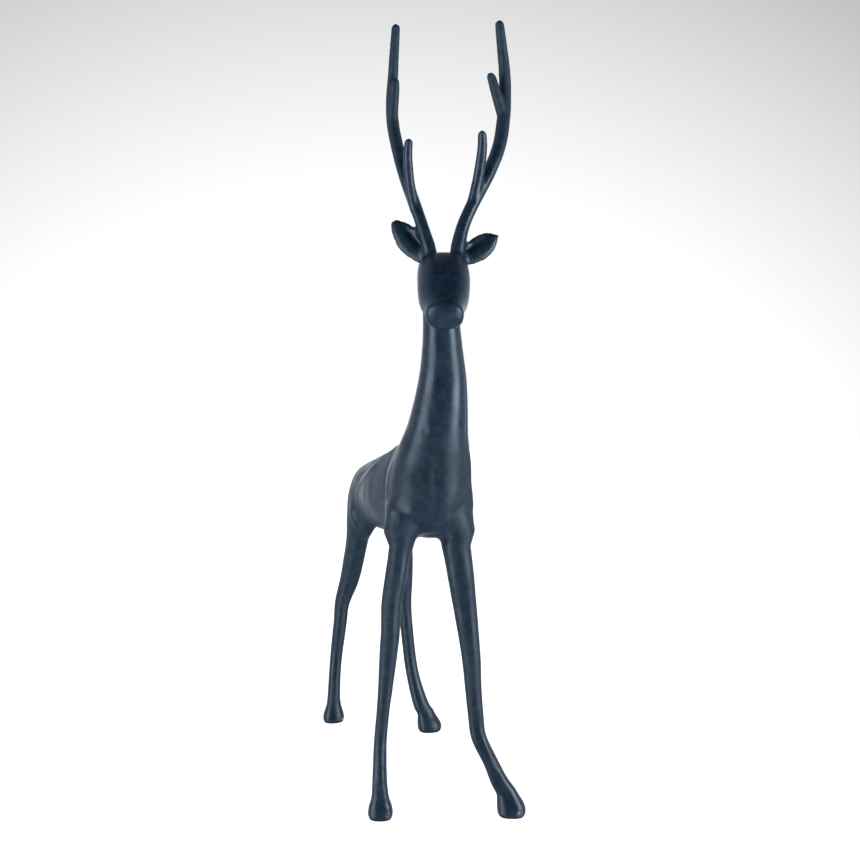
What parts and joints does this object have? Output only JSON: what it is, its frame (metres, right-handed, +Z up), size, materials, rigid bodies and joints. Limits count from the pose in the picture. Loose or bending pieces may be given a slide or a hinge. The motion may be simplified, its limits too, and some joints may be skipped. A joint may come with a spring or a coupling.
{
  "type": "cast iron stag statue",
  "caption": "Tall slender standing stag cast in dark iron, with long splayed legs, a raised head and upswept branched antlers.",
  "frame": {"origin": "centre of the bottom of the object's box, on the plane its soles stand on", "axes": "+Z up, -Y the way the chest faces, +X the stag's own left side"},
  "size_m": [0.1762, 0.5014, 0.9007],
  "materials": {
    "iron": "blue-black satin lacquer over cast iron"
  },
  "bodies": {
    "root": {"stag": "iron"}
  },
  "joints": []
}
